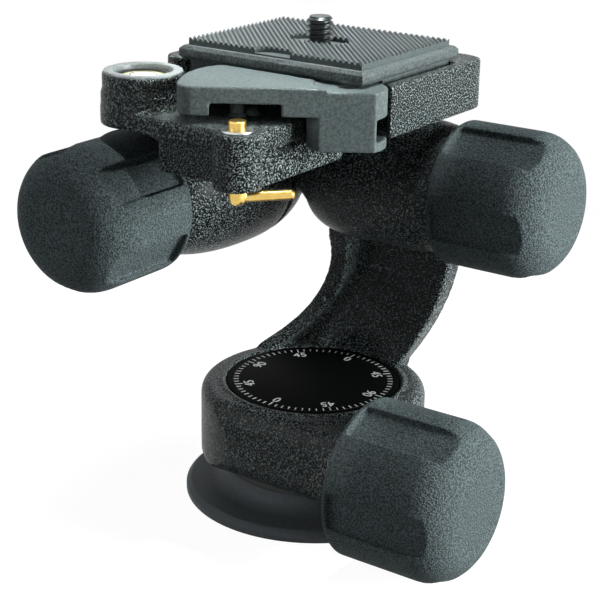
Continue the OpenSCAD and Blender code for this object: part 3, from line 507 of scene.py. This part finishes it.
def spin_outline(name, points, middle, steps=48):
    """A turned piece: an outline of radius and height, spun about an upright axis."""
    piece = draw_outline([(middle.x + r, middle.y, z) for r, z in points])
    piece.name = name
    spin = {"steps": steps, "angle": 2 * math.pi, "center": middle, "axis": (0, 0, 1)}
    edit_mesh(piece, (bpy.ops.mesh.spin, spin),
              (bpy.ops.mesh.remove_doubles, {"threshold": WELD_GAP}),
              (bpy.ops.mesh.normals_make_consistent, {"inside": False}))
    return piece


def dome_points(radius, foot, height):
    """Outline of a shallow dome: radius and height from its rim to its top."""
    turns = [math.radians(10 * i) for i in range(10)]
    return [(radius * math.cos(a), foot + height * math.sin(a)) for a in turns]


bezel_outline = [(BEZEL_IN, vial_high.z)]
bezel_outline += [(BEZEL_IN + across, bezel_top - down) for across, down in INNER_ROUND]
bezel_outline += [(BEZEL_OUT - across, bezel_top - down) for across, down in OUTER_ROUND]
bezel_outline += [(BEZEL_OUT, flange), (sleeve_r, flange), (sleeve_r, vial_high.z),
                  (BEZEL_IN, vial_high.z)]
level_bezel = spin_outline("level_bezel", bezel_outline, level_middle, 64)
bpy.ops.object.shade_smooth_by_angle(angle=TURNED_ANGLE)
finish_piece(level_bezel, moulded, "clamp", "level_ring", "level_ring")
level_seat = spin_outline("level_seat", [
    (SEAT_IN, vial_low.z), (SEAT_IN, seat_top), (SEAT_IN + SEAT_LIP, seat_top),
    (BEZEL_IN, vial_high.z + SEAT_SLOPE * SEAT_UP), (BEZEL_IN, vial_low.z),
    (SEAT_IN, vial_low.z)], level_middle, 64)
bpy.ops.object.shade_smooth_by_angle(angle=TURNED_ANGLE)
finish_piece(level_seat, acetal, "clamp", "level_ring")

# Tinted acrylic: glossy yellow-green, with a painted highlight that makes it pale in its middle,
# fading to yellow-green at its rim.
liquid, tree, shader, place = start_material("tinted_acrylic_vial")
offset = add_node(tree, "ShaderNodeVectorMath", {1: level_middle}, {0: place}, operation="SUBTRACT")
out = add_node(tree, "ShaderNodeVectorMath", (), {0: offset.outputs[0]}, operation="LENGTH")
edge = stretch(tree, out.outputs["Value"], 0.6 * SEAT_IN, 1.05 * SEAT_IN)
vary_tone(tree, shader, edge, "#e9ecd6", "#a6a84c")
set_shader(shader, Roughness=0.08, IOR=1.49, Coat_Weight=0.5, Coat_Roughness=0.03)
vial = spin_outline("vial", [(0, vial_low.z), (SEAT_IN, vial_low.z)]
                    + dome_points(SEAT_IN, vial_high.z, VIAL_DOME), level_middle)
bpy.ops.object.shade_smooth_by_angle(angle=TURNED_ANGLE)
finish_piece(vial, liquid, "clamp", "vial", "level_vial")

# Air bubble: air under the acrylic. Its near-white colour is a painted reflection of the sky, which
# the bubble mirrors. The circle round it is black print.
air, tree, shader, place = start_material("air_bubble")
vary_tone(tree, shader, add_noise(tree, place, 300.0, 2.0), "#eef1df", "#fbfcf4")
set_shader(shader, Roughness=0.05, Coat_Weight=0.6)
bubble = spin_outline("vial_bubble", [(0, print_foot), (BUBBLE_R, print_foot)]
                      + dome_points(BUBBLE_R, vial_top - BUBBLE_RIM, BUBBLE_UP),
                      level_middle + BUBBLE_OFF, 32)
bpy.ops.object.shade_smooth_by_angle(angle=TURNED_ANGLE)
finish_piece(bubble, air, "clamp", "vial")
circle_top = vial_top - CIRCLE_SUNK
vial_circle = spin_outline("vial_circle", [
    (CIRCLE_R, print_foot), (CIRCLE_R, circle_top), (CIRCLE_R + CIRCLE_W, circle_top),
    (CIRCLE_R + CIRCLE_W, print_foot), (CIRCLE_R, print_foot)], level_middle, 64)
finish_piece(vial_circle, acetal, "clamp", "vial")

# Lever: a die-cast lever that locks the plate, with a paddle, a thick finger tab and a forked hub.
# It is lacquered in satin grey, and turns on a steel pin through the clamp's lug. A small steel
# trigger pin, which the plate presses down, stands in the deck's floor.
LEVER_CUBE, LEVER_ROUNDS = 0.28 * MM, 6

# Satin lacquer: smooth grey with a slight orange peel.
lacquer, tree, shader, place = start_material("grey_satin_lacquer")
peel = add_noise(tree, place, 1 / (0.6 * MM), 2.0)
vary_tone(tree, shader, stretch(tree, peel, 0.36, 0.64), "#475050", "#5d6868")
add_relief(tree, shader, peel, 0.35, 0.06 * MM)
set_shader(shader, Roughness=0.45, Specular_IOR_Level=0.1)
lever_cast = merged_copy("lever_cast", "lever")
round_edges(lever_cast, LEVER_CUBE, LEVER_ROUNDS)
finish_piece(lever_cast, lacquer, "lever", "lever", "lever")
dress(steel, "lever_pivot", "trigger_pin")

# Post and stud on the shelf under the lever: a turned stop and a round-headed stud, behind the
# safety pin. Both are lacquered like the lever, and pressed into the casting.
POST_AT, POST_R, POST_BEVEL = Vector((-0.2 * MM, -32.3 * MM, 0)), 1.6 * MM, 0.2 * MM
POST_DROP = 4.1 * MM
SKIRT_OUT, SKIRT_EDGE, SKIRT_TOP = 0.5 * MM, 0.5 * MM, 0.8 * MM
STUD_AT, STUD_R, STUD_H = Vector((1.9 * MM, -29.1 * MM, 0)), 1.9 * MM, 1.7 * MM
ROOT_DEEP = 1 * MM
shelf_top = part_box("pin_collar")[0].z
root = shelf_top - ROOT_DEEP
post_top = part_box("lever")[1].z - POST_DROP
post = spin_outline("stop_post", [
    (0, root), (POST_R + SKIRT_OUT, root), (POST_R + SKIRT_OUT, shelf_top + SKIRT_EDGE),
    (POST_R, shelf_top + SKIRT_TOP), (POST_R, post_top - POST_BEVEL),
    (POST_R - POST_BEVEL, post_top), (0, post_top)], POST_AT, 32)
bpy.ops.object.shade_smooth_by_angle(angle=TURNED_ANGLE)
finish_piece(post, lacquer, "clamp", "lever")
stud = spin_outline("round_stud", [(0, root), (STUD_R, root)]
                    + dome_points(STUD_R, shelf_top, STUD_H), STUD_AT, 32)
bpy.ops.object.shade_smooth_by_angle(angle=TURNED_ANGLE)
finish_piece(stud, lacquer, "clamp", "lever")

# Safety pin: a brass pin in its boss, bent at the foot into a tail for the finger.
# A thin steel collar rests on the boss round it.
PIN_CUBE, PIN_ROUNDS = 0.2 * MM, 3
COLLAR_EDGE = 0.12 * MM
brass_pin = merged_copy("brass_pin", "safety_pin")
round_edges(brass_pin, PIN_CUBE, PIN_ROUNDS)
finish_piece(brass_pin, brass, "safety_pin", "brass", "safety_pin")
collar = merged_copy("steel_collar", "pin_collar")
ease_edges(collar, COLLAR_EDGE)
finish_piece(collar, steel, "clamp", "steel", "pin_collar")

# Quick-release plate: a cast aluminium plate with bevelled edges and a dovetail under it.
# It is lacquered grey like the lever, with a finer grain.
PLATE_EDGE = 0.35 * MM

# Lacquered aluminium: dark grey, with a grain drawn at 0.5 mm so that it shows.
grey_plate, tree, shader, place = start_material("grey_lacquered_aluminium")
grain = add_noise(tree, place, 1 / (0.5 * MM), 2.0)
vary_tone(tree, shader, stretch(tree, grain, 0.36, 0.64), "#363c3c", "#555e5e")
add_relief(tree, shader, grain, 0.4, 0.08 * MM)
set_shader(shader, Roughness=0.4, Specular_IOR_Level=0.12)
plate = merged_copy("release_plate", "quick_plate")
ease_edges(plate, PLATE_EDGE)
finish_piece(plate, grey_plate, "clamp", "plate", "quick_plate")

# Pad: a black rubber sheet bonded to the plate, with fine ridges across it at 43 degrees.
# It has a slot round the camera screw and a smooth notch at the middle of its front edge. Both stop
# at a thin black rubber floor, which is painted shade: the real slot goes through the pad.
RIDGE_PITCH, RIDGE_H, RIDGE_TURN = 1.13 * MM, 0.55 * MM, 43
CREST_FROM, CREST_TO, VALLEY_FROM = 0.3, 0.55, 0.85
SLOT_HALF, SLOT_R = 4.0 * MM, 4.175 * MM
NOTCH_HALF, NOTCH_DEEP = 5.0 * MM, 3.2 * MM
CORNER_SHARE = 0.98
PAINTED_SHADE_FLOOR, CUTTER_H = 0.35 * MM, 10 * MM
CUT_GAP = 0.0001 * MM
pad_low, pad_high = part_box("plate_pad")

# Ribbed rubber: black and dusty, with a soft shine on the ridges.
rubber, tree, shader, place = start_material("black_ribbed_rubber")
vary_tone(tree, shader, add_noise(tree, place, 1400.0, 2.0), "#313939", "#555f5f")
set_shader(shader, Roughness=0.4, Specular_IOR_Level=0.15)


def cut_away(piece, point, outward):
    """Cuts off what lies beyond a plane and closes the cut."""
    plane = {"plane_co": point, "plane_no": outward, "threshold": CUT_GAP}
    edit_mesh(piece, (bpy.ops.mesh.bisect, {**plane, "use_fill": True, "clear_outer": True}))


reach = (pad_high - pad_low).length / 2
ridge_count = math.ceil(2 * reach / RIDGE_PITCH)
valley = pad_high.z - RIDGE_H
section = [(-reach, -reach, valley)]
for i in range(ridge_count):
    along = -reach + i * RIDGE_PITCH
    section += [(along + CREST_FROM * RIDGE_PITCH, -reach, pad_high.z),
                (along + CREST_TO * RIDGE_PITCH, -reach, pad_high.z),
                (along + VALLEY_FROM * RIDGE_PITCH, -reach, valley),
                (along + RIDGE_PITCH, -reach, valley)]
last = section[-1][0]
section += [(last, -reach, pad_low.z), (-reach, -reach, pad_low.z)]
pad = draw_outline(section)
pad.name = "ribbed_pad"
sweep = {"TRANSFORM_OT_translate": {"value": (0, 2 * reach, 0)}}
edit_mesh(pad, (bpy.ops.mesh.edge_face_add, {}), (bpy.ops.mesh.extrude_region_move, sweep),
          (bpy.ops.mesh.normals_make_consistent, {"inside": False}))
pad.data.transform(Matrix.Rotation(math.radians(RIDGE_TURN), 4, "Z"))
for point, outward in ((pad_low, (-1, 0, 0)), (pad_low, (0, -1, 0)), (pad_high, (1, 0, 0)),
                       (pad_high, (0, 1, 0))):
    cut_away(pad, point, outward)


def block(name, across, deep, corner, middle, foot):
    """A tall upright block with round corners, to cut a recess with."""
    bpy.ops.object.select_all(action="DESELECT")
    bpy.ops.mesh.primitive_cube_add(size=1, location=(middle[0], middle[1], foot + CUTTER_H / 2))
    cutter = bpy.context.object
    cutter.name = name
    cutter.scale = (across, deep, CUTTER_H)
    bpy.ops.object.transform_apply(location=True, rotation=True, scale=True)
    bpy.ops.object.mode_set(mode="EDIT")
    bpy.ops.mesh.select_mode(type="EDGE")
    bpy.ops.mesh.select_all(action="DESELECT")
    bpy.ops.object.mode_set(mode="OBJECT")
    for side in cutter.data.edges:
        start, end = (cutter.data.vertices[i].co for i in side.vertices)
        side.select = abs(start.z - end.z) > CUTTER_H / 2
    bpy.ops.object.mode_set(mode="EDIT")
    bpy.ops.mesh.bevel(offset=corner, segments=8, affect="EDGES")
    bpy.ops.object.mode_set(mode="OBJECT")
    return cutter


def cut_by(piece, cutter, operation="DIFFERENCE"):
    """Cuts a piece with another one, which is then thrown away."""
    apply_modifier(piece, "BOOLEAN", operation=operation, object=cutter, solver="EXACT")
    bpy.data.objects.remove(cutter)


# The cutters stop above the pad's foot, so a thin black floor stays in the slot and notch as
# painted shade.
shade_floor_z = pad_low.z + PAINTED_SHADE_FLOOR
cut_by(pad, block("slot", 2 * (SLOT_HALF + SLOT_R), 2 * SLOT_R, CORNER_SHARE * SLOT_R,
                  (0, 0), shade_floor_z))
cut_by(pad, block("notch", 2 * NOTCH_HALF, 2 * NOTCH_DEEP, CORNER_SHARE * NOTCH_DEEP,
                  (0, pad_low.y), shade_floor_z))
finish_piece(pad, rubber, "clamp", "pad", "plate_pad")

# Camera screw: a blackened steel screw, held captive in the plate by its neck.
# Its coarse thread has 20 turns to the inch, and a slotted head under the plate turns it.
SCREW_PITCH, SCREW_R, SCREW_ROOT = 1.27 * MM, 3.17 * MM, 2.55 * MM
CREST_R = SCREW_R + 0.05 * MM
FLANK = ((SCREW_ROOT, 0.0), (SCREW_ROOT, 0.12), (CREST_R, 0.45), (CREST_R, 0.57),
         (SCREW_ROOT, 0.9), (SCREW_ROOT, 1.0))
THREAD_SUNK, THREAD_STEPS, TURN_GAP = 0.8 * MM, 40, 0.004 * MM
TIP_BEVEL, TIP_IN, BLANK_DEEP = 0.7 * MM, 0.1 * MM, 1 * MM
HEAD_LAP, HEAD_EDGE = 0.1 * MM, 0.15 * MM
THREAD_ANGLE = math.radians(30)
screw_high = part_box("camera_screw")[1]
thread_foot = pad_high.z - THREAD_SUNK

# Blackened steel: an oiled oxide film, slightly uneven.
blacked, tree, shader, place = start_material("blackened_steel")
film = add_noise(tree, place, 1 / (1.2 * MM), 3.0)
vary_tone(tree, shader, film, "#2b2f30", "#474d4e")
vary_roughness(tree, shader, film, 0.22, 0.38)
set_shader(shader, Metallic=0.9)

turns = math.ceil((screw_high.z - thread_foot) / SCREW_PITCH) + 2
below = thread_foot - SCREW_PITCH
thread = draw_outline([(r, 0, below + share * SCREW_PITCH) for r, share in FLANK])
thread.name = "mount_screw"
apply_modifier(thread, "SCREW", axis="Z", angle=2 * math.pi, screw_offset=SCREW_PITCH,
               iterations=turns, steps=THREAD_STEPS, render_steps=THREAD_STEPS)
edit_mesh(thread, (bpy.ops.mesh.remove_doubles, {"threshold": TURN_GAP}))
cut_away(thread, (0, 0, thread_foot), (0, 0, -1))
cut_away(thread, screw_high, (0, 0, 1))
edit_mesh(thread, (bpy.ops.mesh.normals_make_consistent, {"inside": False}))
blank = spin_outline("blank", [
    (0, thread_foot - BLANK_DEEP), (SCREW_R, thread_foot - BLANK_DEEP),
    (SCREW_R, screw_high.z - TIP_BEVEL), (SCREW_ROOT - TIP_IN, screw_high.z),
    (0, screw_high.z)], Vector((0, 0, 0)), 64)
cut_by(thread, blank, "INTERSECT")
head = merged_copy("screw_head", "camera_screw")
cut_away(head, (0, 0, thread_foot + HEAD_LAP), (0, 0, 1))
ease_edges(head, HEAD_EDGE)
only(thread)
head.select_set(True)
bpy.ops.object.join()
bpy.ops.object.shade_smooth_by_angle(angle=THREAD_ANGLE)
finish_piece(thread, blacked, "camera_screw", "screw", "camera_screw")
